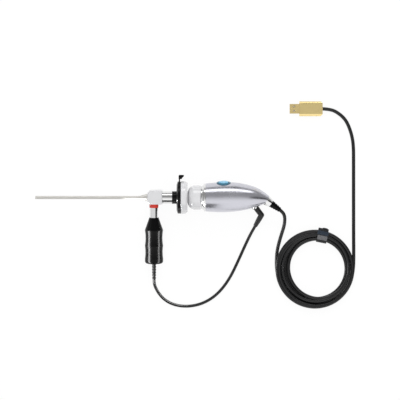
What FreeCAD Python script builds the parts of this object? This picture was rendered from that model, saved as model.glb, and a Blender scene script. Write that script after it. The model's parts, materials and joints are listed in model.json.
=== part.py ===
"""USB endoscope: a rigid scope with its light source, a spring clamp coupler and a USB camera handpiece.

Lengths are in millimetres and angles in degrees. The optical axis runs along X, the tip points to -X, and
X = 0 on the front face of the coupler's disc. The whole object then moves to its resting place on z = 0.
Distances along the light source are measured from the optical axis.
"""

import FreeCAD, Part
import math
import os
import Sketcher

Vector = FreeCAD.Vector
Placement = FreeCAD.Placement
Rotation = FreeCAD.Rotation
X_AXIS = Vector(1, 0, 0)
Z_AXIS = Vector(0, 0, 1)

SIZES = {
    # where the object lies: the two shifts are measured from the finished solids below
    "shift_x": 0.0,
    "shift_y": 0.0,
    "camera_roll": 20.0,
    # clearances
    "fit": 0.02,
    "running": 0.05,
    "gap": 0.3,
    # scope tube and what it holds
    "tube_length": 130.8,
    "tube_r": 2.0,
    "tube_wall": 0.4,
    "tube_neck": 0.5,
    "tube_neck_step": 0.25,
    "image_tube_r": 1.25,
    "image_tube_wall": 0.2,
    "window_t": 0.8,
    "rod_length": 21.0,
    "rod_spacer": 3.0,
    "cone_length": 8.7,
    "cone_tip_r": 2.4,
    "cone_root_r": 4.4,
    # scope head
    "head_rear_x": -22.9,
    "head_length": 18.7,
    "head_top": 9.0,
    "head_bottom": 8.1,
    "head_depth": 15.0,
    "head_chamfer": 3.8,
    "head_edge": 0.8,
    "ocular_bore_r": 6.2,
    "post_x": -33.4,
    "post_r": 5.2,
    "post_root_r": 4.0,
    "post_root_depth": 4.0,
    "red_ring_r": 5.6,
    "red_ring_width": 4.5,
    "post_end": 34.0,
    "fibre_r": 2.0,
    # eyepiece
    "eyepiece_r": 7.7,
    "eyepiece_wall": 1.4,
    "ocular_t": 3.2,
    "ocular_face_r": 16.0,
    "eyecup_neck_r": 7.85,
    "eyecup_neck_length": 5.2,
    "eyecup_face_x": -5.6,
    "eyecup_play": 0.25,
    "eyecup_lip": 2.45,
    "eyecup_groove_width": 2.6,
    "eyecup_rim_t": 2.2,
    "eyecup_seat_x": 2.4,
    "eye_bore_r": 4.0,
    "window_r": 5.4,
    # light source
    "grip_top": 25.1,
    "grip_top_r": 5.8,
    "grip_r": 11.4,
    "grip_shoulder": 40.8,
    "grip_waist_1_r": 10.55,
    "grip_ridge": 60.4,
    "grip_waist_2_r": 10.8,
    "grip_end_ridge": 76.6,
    "grip_end": 82.8,
    "grip_end_r": 8.6,
    "grip_corner": 3.0,
    "grip_wall": 2.0,
    "adapter_wall": 0.9,
    "condenser_r": 4.6,
    "condenser_t": 4.0,
    "led_board_t": 1.6,
    "led_r": 1.8,
    "led_t": 1.0,
    "sink_length": 16.0,
    "driver_t": 1.6,
    "driver_width": 13.0,
    "driver_length": 17.4,
    "end_cap_t": 3.0,
    "relief_root_r": 2.2,
    "relief_r": 2.7,
    "relief_tip_r": 2.3,
    "relief_end": 102.0,
    "rib_depth": 0.45,
    # clamp and coupler
    "disc_r": 20.4,
    "disc_length": 8.5,
    "disc_edge": 1.2,
    "disc_bevel_x": 6.2,
    "disc_bevel": 2.2,
    "cover_front_x": -5.0,
    "cover_edge_x": -3.6,
    "disc_wall": 1.5,
    "jaw_band": 2.6,
    "pocket_depth": 2.7,
    "jaw_t": 1.6,
    "jaw_travel": 2.0,
    "jaw_lap": 0.2,
    "lever_width": 9.0,
    "lever_neck": 4.6,
    "lever_rise": 7.7,
    "lever_cap_t": 1.8,
    "lever_stem": 1.0,
    "lever_stem_rise": 2.5,
    "lever_back": 3.9,
    "lever_cap_width": 13.0,
    "spring_t": 0.3,
    "spring_half": 11.4,
    "neck_r": 6.8,
    "light_bore_r": 4.6,
    "cell_bore_r": 5.6,
    "ring_front_x": 8.8,
    "ring_shoulder_x": 17.0,
    "ring_shoulder_bow": 9.5,
    "ring_end_x": 24.7,
    "ring_r": 15.25,
    "ring_nose_r": 7.6,
    "cell_length": 6.0,
    "cell_x": 15.0,
    "cell_wall": 0.9,
    "pin_r": 0.9,
    "pin_depth": 1.2,
    "focus_travel": 1.0,
    "coupler_lens_t": 2.4,
    "coupler_lens_face_r": 14.0,
    "mount_thread_r": 12.7,
    "mount_thread_length": 4.6,
    "chrome_front_x": 25.6,
    "chrome_length": 5.65,
    "chrome_front_r": 14.4,
    "chrome_bead_r": 17.6,
    "chrome_bead_t": 2.4,
    # camera handpiece: sections across the optical axis, each with its place, offset and radius
    "body_1_x": 31.25,
    "body_1_y": 0.1,
    "body_1_r": 17.4,
    "body_2_x": 44.0,
    "body_2_y": 0.3,
    "body_2_r": 18.5,
    "body_3_x": 58.0,
    "body_3_y": 0.55,
    "body_3_r": 18.7,
    "body_4_x": 72.0,
    "body_4_y": 0.75,
    "body_4_r": 17.6,
    "body_5_x": 85.0,
    "body_5_y": 0.65,
    "body_5_r": 15.0,
    "body_6_x": 97.0,
    "body_6_y": 0.1,
    "body_6_r": 11.0,
    "tail_x": 106.2,
    "tail_y": -3.3,
    "tail_r": 6.4,
    "tail_lean": 37.0,
    "shell_wall": 2.0,
    "boss_r": 3.0,
    "screw_r": 1.2,
    "screw_head_r": 2.2,
    "screw_head_t": 1.6,
    "screw_length": 14.0,
    "screw_front_x": 40.0,
    "screw_rear_x": 82.0,
    "screw_front_y": 11.0,
    "screw_rear_y": 8.5,
    "tail_ring_length": 7.3,
    "tail_ring_tip_r": 5.0,
    "boot_root_r": 3.2,
    "boot_length": 14.2,
    "boot_r": 4.65,
    "boot_tip_r": 3.0,
    "button_x": 53.4,
    "button_length": 17.5,
    "button_width": 12.0,
    "button_rim": 1.5,
    "button_top": 21.0,
    "button_bottom": 14.5,
    "button_round": 0.8,
    "bezel_top": 20.0,
    "button_travel": 0.6,
    "bezel_depth": 5.0,
    "sensor_x": 35.0,
    "sensor_t": 1.6,
    "chip_side": 8.0,
    "chip_t": 1.2,
    "filter_t": 0.5,
    "board_length": 46.0,
    "board_width": 20.0,
    "board_y": 4.0,
    "shelf_x": 60.0,
    "rear_shelf_x": 76.0,
    "shelf_t": 2.0,
    "shelf_depth": 3.0,
    "board_t": 1.6,
    "switch_side": 6.0,
    "switch_base": 3.5,
    "plunger_r": 1.7,
    "jack_x": 93.4,
    "jack_y": -13.0,
    "jack_lean": 54.4,
    "jack_r": 4.0,
    "jack_collar_r": 5.0,
    "jack_collar_t": 1.6,
    "jack_depth": 9.0,
    "jack_bore_r": 2.6,
    # light plug
    "plug_r": 3.5,
    "plug_leg": 12.6,
    "plug_pin_r": 2.5,
    "plug_pin_length": 7.0,
    "plug_tail_lean": 117.7,
    "plug_tail_length": 16.4,
    "plug_tail_r": 3.3,
    "plug_tip_r": 2.6,
    # cords
    "light_cord_r": 1.9,
    "usb_cord_r": 2.2,
    "coil_x": 168.4,
    "coil_y": -88.75,
    "coil_r": 50.0,
    "coil_inner_r": 33.5,
    "coil_height": 9.0,
    "coil_round": 3.0,
    "tie_angle": 79.0,
    "tie_width": 9.4,
    "tie_t": 1.0,
    "tie_tail_width": 6.5,
    "tie_tail_t": 2.0,
    # USB plug
    "usb_x": 177.4,
    "usb_y": 111.1,
    "usb_length": 29.0,
    "usb_width": 18.7,
    "usb_t": 9.0,
    "usb_nose_round": 3.0,
    "usb_chamfer": 2.4,
    "usb_shell_length": 12.0,
    "usb_shell_width": 12.0,
    "usb_shell_t": 4.5,
    "usb_shell_wall": 0.3,
    "usb_shell_root": 4.0,
    "window_length": 3.0,
    "window_width": 1.9,
    "window_from_tip": 5.2,
    "window_apart": 5.8,
    "tongue_t": 1.9,
    "contact_width": 1.0,
    "contact_length": 8.0,
    "contact_t": 0.15,
    "contact_pitch": 2.5,
}


class Size:
    """A value from the sheet, or worked out from it: the number now, and the formula that keeps it tied."""

    def __init__(self, text, value):
        self.text = text
        self.value = value

    def __add__(self, other):
        return Size(f"({self.text} + {size(other).text})", self.value + size(other).value)

    def __radd__(self, other):
        return size(other) + self

    def __sub__(self, other):
        return Size(f"({self.text} - {size(other).text})", self.value - size(other).value)

    def __rsub__(self, other):
        return size(other) - self

    def __mul__(self, other):
        return Size(f"({self.text} * {size(other).text})", self.value * size(other).value)

    def __rmul__(self, other):
        return size(other) * self

    def __truediv__(self, other):
        return Size(f"({self.text} / {size(other).text})", self.value / size(other).value)

    def __neg__(self):
        return 0 - self


def size(value):
    return value if isinstance(value, Size) else Size(repr(float(value)), float(value))


def root(value):
    return Size(f"sqrt({value.text})", math.sqrt(value.value))


def arc_sine(value):
    return Size(f"(asin({value.text}) / 1 deg)", math.degrees(math.asin(value.value)))


def arc_tangent(value):
    return Size(f"(atan({value.text}) / 1 deg)", math.degrees(math.atan(value.value)))


def cosine(angle):
    return Size(f"cos({angle.text})", math.cos(math.radians(angle.value)))


def sine(angle):
    return Size(f"sin({angle.text})", math.sin(math.radians(angle.value)))


class Sheet:
    """The spreadsheet of driving sizes, each readable here by its alias."""

    def __init__(self, doc):
        self.cells = doc.addObject("Spreadsheet::Sheet", "sizes")
        for row, (alias, value) in enumerate(SIZES.items(), 1):
            self.cells.set(f"A{row}", alias)
            self.cells.set(f"B{row}", str(value))
            self.cells.setAlias(f"B{row}", alias)
            setattr(self, alias, Size(f"sizes.{alias}", value))


doc = FreeCAD.newDocument("usb_endoscope")
S = Sheet(doc)
doc.recompute()

# The scope half leans until the light source's last ridge meets the table that the disc stands on.
RIDGE = S.grip_end - S.grip_corner
LEAN = arc_sine(S.disc_r / root(RIDGE * RIDGE + S.grip_r * S.grip_r)) - arc_tangent(S.grip_r / RIDGE) - 0.1
ANGLES = {"scope": LEAN, "camera": S.camera_roll, "coupler": size(0)}
PARTS = []
CORDS = []

# From the disc inwards: the pocket that the jaw slides in, the cover's opening, the jaw's, and the eyecup's rim.
POCKET_R = S.disc_r - S.disc_wall
APERTURE_R = POCKET_R - S.jaw_band
JAW_R = APERTURE_R - S.jaw_lap
EYECUP_R = JAW_R - S.eyecup_play
GROOVE_R = EYECUP_R - S.eyecup_lip
LEVER_TOP = S.disc_r + S.lever_rise


def bind(thing, prop, value):
    """Sets a property, and ties it to the sheet when it comes from there."""
    if isinstance(value, Size):
        thing.setExpression(prop, value.text)
    else:
        setattr(thing, prop, value)


def seat(thing, name, group):
    """Names a finished sub-part and puts it in its group's place at rest."""
    thing.Label = name
    thing.Placement = Placement(Vector(0, 0, 0), Rotation(X_AXIS, ANGLES[group].value))
    thing.setExpression("Placement.Base.x", S.shift_x.text)
    thing.setExpression("Placement.Base.y", S.shift_y.text)
    thing.setExpression("Placement.Base.z", S.disc_r.text)
    thing.setExpression("Placement.Rotation.Angle", ANGLES[group].text)
    PARTS.append(thing)
    return thing


def new_body(name, group):
    return seat(doc.addObject("PartDesign::Body", name + "_body"), name, group)


def new_sketch(body, plane, at=(0, 0), lean=0, height=0):
    """A sketch in one of the body's planes, moved to a point there, turned clockwise and lifted off the plane."""
    sketch = body.newObject("Sketcher::SketchObject", "outline")
    support = [f for f in body.Origin.OriginFeatures if f.Role == plane][0]
    sketch.AttachmentSupport = [(support, "")]
    sketch.MapMode = "FlatFace"
    x, y, lift, turn = (size(v) for v in (*at, height, lean))
    sketch.AttachmentOffset = Placement(Vector(x.value, y.value, lift.value), Rotation(-Z_AXIS, turn.value))
    for axis, value in (("x", x), ("y", y), ("z", lift)):
        sketch.setExpression(f"AttachmentOffset.Base.{axis}", value.text)
    if turn.value:
        sketch.setExpression("AttachmentOffset.Rotation.Angle", turn.text)
    return sketch


def fix(sketch, index, kind, value):
    """One distance of a sketch point from the sketch's origin, tied to its size."""
    number = sketch.addConstraint(Sketcher.Constraint(kind, -1, 1, *index, value.value))
    sketch.setExpression(f"Constraints[{number}]", value.text)


def outline(sketch, points):
    """A closed outline through points (x, y), or (x, y, bow) where an arc of radius bow leads to the next one.

    A positive bow turns counter-clockwise on its way, and a negative one clockwise.
    """
    corners = [Vector(size(p[0]).value, size(p[1]).value, 0) for p in points]
    ends = []
    for i, point in enumerate(points):
        start, stop = corners[i], corners[(i + 1) % len(points)]
        if len(point) == 2:
            sketch.addGeometry(Part.LineSegment(start, stop), False)
            ends.append((1, 2))
            continue
        bow = size(point[2])
        middle = (start + stop) / 2
        half = (stop - start).Length / 2
        left = Z_AXIS.cross(stop - start).normalize()
        side = 1 if bow.value > 0 else -1
        centre = middle + left * side * math.sqrt(max(bow.value**2 - half**2, 0))
        first, last = (start, stop) if side > 0 else (stop, start)
        turns = [math.atan2(p.y - centre.y, p.x - centre.x) for p in (first, last)]
        circle = Part.Circle(centre, Z_AXIS, abs(bow.value))
        sketch.addGeometry(Part.ArcOfCircle(circle, turns[0], turns[1]), False)
        number = sketch.addConstraint(Sketcher.Constraint("Radius", i, abs(bow.value)))
        sketch.setExpression(f"Constraints[{number}]", f"abs({bow.text})")
        ends.append((1, 2) if side > 0 else (2, 1))
    for i in range(len(points)):
        following = (i + 1) % len(points)
        joint = Sketcher.Constraint("Coincident", i, ends[i][1], following, ends[following][0])
        sketch.addConstraint(joint)
    for i, point in enumerate(points):
        fix(sketch, (i, ends[i][0]), "DistanceX", size(point[0]))
        fix(sketch, (i, ends[i][0]), "DistanceY", size(point[1]))


def circles(sketch, rings):
    """Whole circles (x, y, radius)."""
    for i, (x, y, radius) in enumerate(rings):
        x, y, radius = size(x), size(y), size(radius)
        sketch.addGeometry(Part.Circle(Vector(x.value, y.value, 0), Z_AXIS, radius.value), False)
        fix(sketch, (i, 3), "DistanceX", x)
        fix(sketch, (i, 3), "DistanceY", y)
        number = sketch.addConstraint(Sketcher.Constraint("Radius", i, radius.value))
        sketch.setExpression(f"Constraints[{number}]", radius.text)


def box(sketch, x0, x1, y0, y1):
    outline(sketch, [(x0, y0), (x1, y0), (x1, y1), (x0, y1)])


def revolve(body, points, at=(0, 0), lean=0, cut=False):
    """Turns an outline of (distance along, radius) about the axis through a point of the XY plane."""
    sketch = new_sketch(body, "XY_Plane", at, lean)
    outline(sketch, points)
    kind = "Groove" if cut else "Revolution"
    feature = body.newObject("PartDesign::" + kind, kind.lower())
    feature.Profile = sketch
    feature.ReferenceAxis = (sketch, ["H_Axis"])
    feature.Angle = 360
    return feature


def turned(name, group, points, at=(0, 0), lean=0):
    body = new_body(name, group)
    revolve(body, points, at, lean)
    return body


def tube(start, stop, inner, outer):
    """The section of a plain tube or, with no inner radius, of a rod."""
    return [(start, inner), (stop, inner), (stop, outer), (start, outer)]


def pad(body, sketch, length, midplane=False, backward=False, cut=False):
    kind = "Pocket" if cut else "Pad"
    feature = body.newObject("PartDesign::" + kind, kind.lower())
    feature.Profile = sketch
    feature.Length = size(length).value
    feature.setExpression("Length", size(length).text)
    feature.Midplane = midplane
    feature.Reversed = backward
    return feature


def round_edges(body, radius, chosen, chamfer=False):
    """Rounds the edges of the body's last feature for which chosen(edge) holds."""
    doc.recompute()
    tip = body.Tip
    names = [f"Edge{i}" for i, edge in enumerate(tip.Shape.Edges, 1) if chosen(edge)]
    kind = "Chamfer" if chamfer else "Fillet"
    feature = body.newObject("PartDesign::" + kind, kind.lower())
    feature.Base = (tip, names)
    bind(feature, "Size" if chamfer else "Radius", radius)
    return feature


def group_of(name, group, pieces):
    """Like pieces that share one node."""
    compound = doc.addObject("Part::Compound", name + "_set")
    compound.Links = pieces
    return seat(compound, name, group)


def dome(face_r, at_r):
    """How far a domed face falls away from its crown at that radius."""
    return face_r - root(face_r * face_r - at_r * at_r)


def lens(name, group, centre, thickness, face_r, rim_r, at=(0, 0), lean=0):
    """A lens with two domed faces."""
    sag = dome(face_r, rim_r)
    front, back = centre - thickness / 2, centre + thickness / 2
    points = [(front, 0, -face_r), (front + sag, rim_r), (back - sag, rim_r, -face_r), (back, 0)]
    return turned(name, group, points, at, lean)


def ribbed(root_start, root_r, start, stop, start_r, stop_r, ribs):
    """The section of a tapered strain relief on its root, with a groove on each side of every rib."""
    share = 1 / (2 * ribs + 1)
    points = [(root_start, 0), (stop, 0), (stop, stop_r)]
    for i in range(2 * ribs, 0, -1):
        place = start + (stop - start) * (share * i)
        radius = start_r + (stop_r - start_r) * (share * i)
        low = radius - S.rib_depth
        points += [(place, radius), (place, low)] if i % 2 == 0 else [(place, low), (place, radius)]
    return points + [(start, start_r), (start, root_r), (root_start, root_r)]


HEAD_FRONT = S.head_rear_x - S.head_length
CONE_TIP = HEAD_FRONT - S.cone_length
TIP = CONE_TIP - S.tube_length
POST = (S.post_x, 0)
RING_SEAT_R = S.post_r - 0.8
RING_END = S.head_bottom + S.red_ring_width
LIGHT_DOWN = {"at": POST, "lean": 90}


def build_shaft():
    """The steel shaft: sheath, fibres between it and the image tube, and the rod lenses."""
    bore = S.tube_r - S.tube_wall
    neck = CONE_TIP - S.tube_neck
    neck_r = S.tube_r - S.tube_neck_step
    turned("scope_tube", "scope", [
        (TIP, bore),
        (HEAD_FRONT, bore),
        (HEAD_FRONT, neck_r),
        (neck, neck_r),
        (neck, S.tube_r),
        (TIP, S.tube_r),
    ])
    cone_bore = neck_r + S.fit
    turned("tube_cone", "scope", [
        (CONE_TIP, cone_bore),
        (HEAD_FRONT, cone_bore),
        (HEAD_FRONT, S.cone_root_r),
        (HEAD_FRONT - 1, S.cone_root_r),
        (CONE_TIP, S.cone_tip_r),
    ])
    glass_r = S.image_tube_r - S.image_tube_wall
    turned("image_tube", "scope", tube(TIP, S.head_rear_x - 2, glass_r, S.image_tube_r))
    glass_r = glass_r - S.fit
    turned("distal_window", "scope", tube(TIP, TIP + S.window_t, 0, glass_r))
    pitch = S.rod_length + S.rod_spacer
    room = S.head_rear_x - 2 - TIP - S.window_t
    rods = []
    for i in range(int(room.value / pitch.value)):
        rod = doc.addObject("Part::Cylinder", "rod")
        rod.setExpression("Radius", glass_r.text)
        rod.setExpression("Height", S.rod_length.text)
        rod.Placement = Placement(Vector(0, 0, 0), Rotation(Vector(0, 1, 0), 90))
        rod.setExpression("Placement.Base.x", (TIP + S.window_t + S.rod_spacer / 2 + pitch * i).text)
        rods.append(rod)
    group_of("rod_lenses", "scope", rods)
    bundle = turned("light_fibre_bundle", "scope",
                    tube(TIP, S.post_x + S.fibre_r / 2, 0, bore - S.fit))
    foot = new_sketch(bundle, "XZ_Plane")
    circles(foot, [(S.post_x, 0, S.fibre_r)])
    pad(bundle, foot, S.post_end)
    revolve(bundle, tube(TIP - 1, S.post_x + 2 * S.fibre_r, 0, S.image_tube_r + S.fit), cut=True)


def build_head():
    """The plated block, its light post and the marking ring."""
    head = new_body("scope_head", "scope")
    block = new_sketch(head, "XY_Plane")
    outline(block, [
        (HEAD_FRONT, S.head_chamfer - S.head_bottom),
        (HEAD_FRONT + S.head_chamfer, -S.head_bottom),
        (S.head_rear_x, -S.head_bottom),
        (S.head_rear_x, S.head_top),
        (HEAD_FRONT + S.head_chamfer, S.head_top),
        (HEAD_FRONT, S.head_top - S.head_chamfer),
    ])
    pad(head, block, S.head_depth, midplane=True)
    round_edges(head, S.head_edge, lambda e: e.Length > 1 and e.BoundBox.ZLength < 0.01)
    spigot = S.head_rear_x - S.post_root_depth
    revolve(head, [
        (HEAD_FRONT - 1, 0),
        (S.head_rear_x + 1, 0),
        (S.head_rear_x + 1, S.ocular_bore_r),
        (spigot, S.ocular_bore_r),
        (spigot, S.fibre_r + S.fit),
        (HEAD_FRONT - 1, S.fibre_r + S.fit),
    ], cut=True)
    post_root = S.head_bottom - S.post_root_depth
    revolve(head, [
        (0, 0),
        (S.head_bottom + 1, 0),
        (S.head_bottom + 1, S.post_root_r + S.fit),
        (post_root, S.post_root_r + S.fit),
        (post_root, S.fibre_r + S.fit),
        (0, S.fibre_r + S.fit),
    ], cut=True, **LIGHT_DOWN)
    bore = S.fibre_r + S.fit
    turned("light_post", "scope", [
        (post_root, bore),
        (S.post_end, bore),
        (S.post_end, S.post_r),
        (RING_END, S.post_r),
        (RING_END, RING_SEAT_R),
        (S.head_bottom, RING_SEAT_R),
        (S.head_bottom, S.post_root_r),
        (post_root, S.post_root_r),
    ], **LIGHT_DOWN)
    turned("red_ring", "scope", tube(S.head_bottom, RING_END, RING_SEAT_R + S.fit, S.red_ring_r), **LIGHT_DOWN)


def build_eyepiece():
    """The polished tube behind the head, and the eyecup that the coupler's jaw holds."""
    tube_end = S.eyecup_face_x - 0.4
    neck_start = S.eyecup_face_x - S.eyecup_neck_length
    lens_bore = S.eyepiece_r - S.eyepiece_wall
    spigot_r = S.eyepiece_r - S.eyepiece_wall / 2
    root_bore = S.ocular_bore_r - 1
    step = S.head_rear_x + 1.5
    turned("eyepiece_tube", "scope", [
        (S.head_rear_x - S.post_root_depth, root_bore),
        (step, root_bore),
        (step, lens_bore),
        (tube_end, lens_bore),
        (tube_end, spigot_r),
        (neck_start, spigot_r),
        (neck_start, S.eyepiece_r),
        (S.head_rear_x, S.eyepiece_r),
        (S.head_rear_x, S.ocular_bore_r - S.fit),
        (S.head_rear_x - S.post_root_depth, S.ocular_bore_r - S.fit),
    ])
    crown = step - dome(S.ocular_face_r, root_bore)
    lens("ocular_lens", "scope", crown + S.ocular_t / 2, S.ocular_t, S.ocular_face_r, lens_bore - S.fit)
    rim_start = S.eyecup_seat_x - S.eyecup_rim_t
    window_seat = S.eyecup_seat_x - 1
    turned("eyecup", "scope", [
        (neck_start, spigot_r + S.fit),
        (tube_end, spigot_r + S.fit),
        (tube_end, S.eye_bore_r),
        (window_seat, S.eye_bore_r),
        (window_seat, S.window_r + S.fit),
        (S.eyecup_seat_x, S.window_r + S.fit),
        (S.eyecup_seat_x, EYECUP_R),
        (rim_start, EYECUP_R),
        (rim_start, GROOVE_R),
        (rim_start - S.eyecup_groove_width, GROOVE_R, EYECUP_R),
        (S.eyecup_face_x, S.eyecup_neck_r),
        (neck_start, S.eyecup_neck_r),
    ])
    turned("eyepiece_window", "scope", tube(window_seat, S.eyecup_seat_x - 0.1, 0, S.window_r))


def waist(chord, dip):
    """The radius of an arc that dips that deep between two ridges."""
    return chord * chord / (8 * dip) + dip / 2


def build_light_source():
    """The battery-free light source on the post, from its socket to its strain relief."""
    socket_start = S.grip_top + 2
    socket_r = S.post_r + S.adapter_wall
    flange_r = S.grip_waist_1_r - S.grip_wall
    bore_r = flange_r + S.gap
    lens_seat = S.post_end + 2.5
    board = lens_seat + S.condenser_t + S.led_t + S.gap
    sink = board + S.led_board_t
    cap = sink + S.sink_length + S.driver_length
    cap_step = S.grip_end - S.end_cap_t
    cap_r = S.grip_end_r - S.grip_wall
    flare = lens_seat - 2
    turned("light_adapter", "scope", [
        (socket_start, S.post_r + S.fit),
        (S.post_end + S.fit, S.post_r + S.fit),
        (S.post_end + S.fit, S.condenser_r - 1),
        (lens_seat, S.condenser_r - 1),
        (lens_seat, S.condenser_r + S.fit),
        (board, S.condenser_r + S.fit),
        (board, flange_r),
        (board - 2, flange_r),
        (flare, socket_r),
        (socket_start, socket_r),
    ], **LIGHT_DOWN)
    lens("condenser_lens", "scope", lens_seat + S.condenser_t / 2, S.condenser_t, 2 * S.condenser_r,
         S.condenser_r, **LIGHT_DOWN)
    star = turned("led_board", "scope", tube(board, sink, 0, flange_r - 0.5), **LIGHT_DOWN)
    notches = new_sketch(star, "XZ_Plane", POST, height=sink)
    circles(notches, [(flange_r, 0, 1.6)])
    notch = pad(star, notches, S.led_board_t + 1, cut=True)
    ring_of(star, notch, notches, 6)
    chip = [(board - S.led_t, 0), (board, 0), (board, S.led_r), (board - S.led_t / 2, S.led_r)]
    turned("led_chip", "scope", chip, **LIGHT_DOWN)
    cooler = turned("heat_sink", "scope", tube(sink, sink + S.sink_length, 0, flange_r), **LIGHT_DOWN)
    slots = new_sketch(cooler, "XZ_Plane", POST, height=sink + S.sink_length)
    box(slots, flange_r / 2.5, flange_r + 1, -0.6, 0.6)
    slot = pad(cooler, slots, S.sink_length - 3, cut=True)
    ring_of(cooler, slot, slots, 12)
    first = waist(S.grip_ridge - S.grip_shoulder, S.grip_r - S.grip_waist_1_r)
    second = waist(S.grip_end_ridge - S.grip_ridge, S.grip_r - S.grip_waist_2_r)
    turned("light_grip", "scope", [
        (S.grip_top, S.post_r + S.gap),
        (S.grip_top, S.grip_top_r),
        (S.grip_shoulder, S.grip_r, first),
        (S.grip_ridge, S.grip_r, second),
        (S.grip_end_ridge, S.grip_r),
        (RIDGE, S.grip_r, -S.grip_corner),
        (S.grip_end, S.grip_end_r),
        (S.grip_end, cap_r + S.fit),
        (cap_step, cap_r + S.fit),
        (cap_step, bore_r),
        (board - 2, bore_r),
        (flare, socket_r + S.fit),
        (socket_start, socket_r + S.fit),
        (socket_start, S.post_r + S.gap),
    ], **LIGHT_DOWN)
    driver = new_body("driver_board", "scope")
    plate = new_sketch(driver, "XZ_Plane", POST, height=sink + S.sink_length)
    box(plate, -S.driver_width / 2, S.driver_width / 2, -S.driver_t / 2, S.driver_t / 2)
    pad(driver, plate, S.driver_length)
    relief_bore = S.relief_root_r + S.fit
    turned("light_end_cap", "scope", [
        (cap, relief_bore),
        (S.grip_end, relief_bore),
        (S.grip_end, cap_r),
        (cap_step, cap_r),
        (cap_step, flange_r),
        (cap, flange_r),
    ], **LIGHT_DOWN)
    relief = ribbed(cap, S.relief_root_r, S.grip_end, S.relief_end, S.relief_r, S.relief_tip_r, 5)
    turned("light_strain_relief", "scope", relief, **LIGHT_DOWN)


def ring_of(body, feature, sketch, count):
    """Repeats a cut around the axis that its sketch stands on."""
    doc.recompute()
    pattern = body.newObject("PartDesign::PolarPattern", "ring")
    pattern.Originals = [feature]
    pattern.Axis = (sketch, ["N_Axis"])
    pattern.Angle = 360
    pattern.Occurrences = count
    body.Tip = pattern
    return pattern


def build_clamp():
    """The black cover and the spring jaw behind it, which the thumb lever pushes down to free the eyecup."""
    cover = turned("clamp_cover", "coupler", [
        (-S.pocket_depth, APERTURE_R),
        (-S.pocket_depth, POCKET_R),
        (0, POCKET_R),
        (0, S.disc_r - S.gap),
        (S.cover_edge_x, S.disc_r - S.gap, 2 * POCKET_R),
        (S.cover_front_x, APERTURE_R),
    ])
    slot = new_sketch(cover, "YZ_Plane", height=-S.pocket_depth)
    half = S.lever_width / 2 + S.gap
    box(slot, APERTURE_R, S.disc_r + 1, -half, half)
    pad(cover, slot, S.pocket_depth + 1, backward=True, cut=True)
    front = S.gap - S.pocket_depth
    jaw = new_body("jaw_slide", "coupler")
    plate = new_sketch(jaw, "YZ_Plane", height=front)
    plate_r = POCKET_R - S.gap - S.jaw_travel / 2
    circles(plate, [(S.jaw_travel / 2, 0, plate_r), (S.jaw_travel, 0, JAW_R)])
    pad(jaw, plate, S.jaw_t)
    neck = new_sketch(jaw, "YZ_Plane", height=front)
    box(neck, S.jaw_travel + JAW_R + 0.05, S.disc_r + S.lever_neck, -S.lever_width / 2, S.lever_width / 2)
    pad(jaw, neck, S.jaw_t)
    cap = new_sketch(jaw, "XY_Plane")
    stem_bottom = S.disc_r + S.lever_stem_rise
    outline(cap, [
        (front - 0.2, stem_bottom),
        (S.lever_stem, stem_bottom),
        (S.lever_stem + 0.9, LEVER_TOP - 2 * S.lever_cap_t),
        (S.lever_back, LEVER_TOP - S.lever_cap_t),
        (S.lever_back, LEVER_TOP),
        (front + 0.8, LEVER_TOP),
        (front - 0.2, LEVER_TOP - 1),
    ])
    pad(jaw, cap, S.lever_cap_width, midplane=True)
    spring = new_body("jaw_spring", "coupler")
    leaf = new_sketch(spring, "YZ_Plane", height=front)
    seat_r = POCKET_R - S.gap
    end = root(seat_r * seat_r - S.spring_half * S.spring_half) - S.spring_t
    dip = plate_r - S.jaw_travel / 2 + S.spring_t + S.gap - end
    bow = waist(2 * S.spring_half, dip)
    outline(leaf, [
        (-end, -S.spring_half, -bow),
        (-end, S.spring_half),
        (S.spring_t - end, S.spring_half, bow - S.spring_t),
        (S.spring_t - end, -S.spring_half),
    ])
    pad(spring, leaf, S.jaw_t)


CELL_MIDDLE = S.cell_x + S.cell_length / 2
TUBE_END = S.chrome_front_x + S.mount_thread_length


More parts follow.
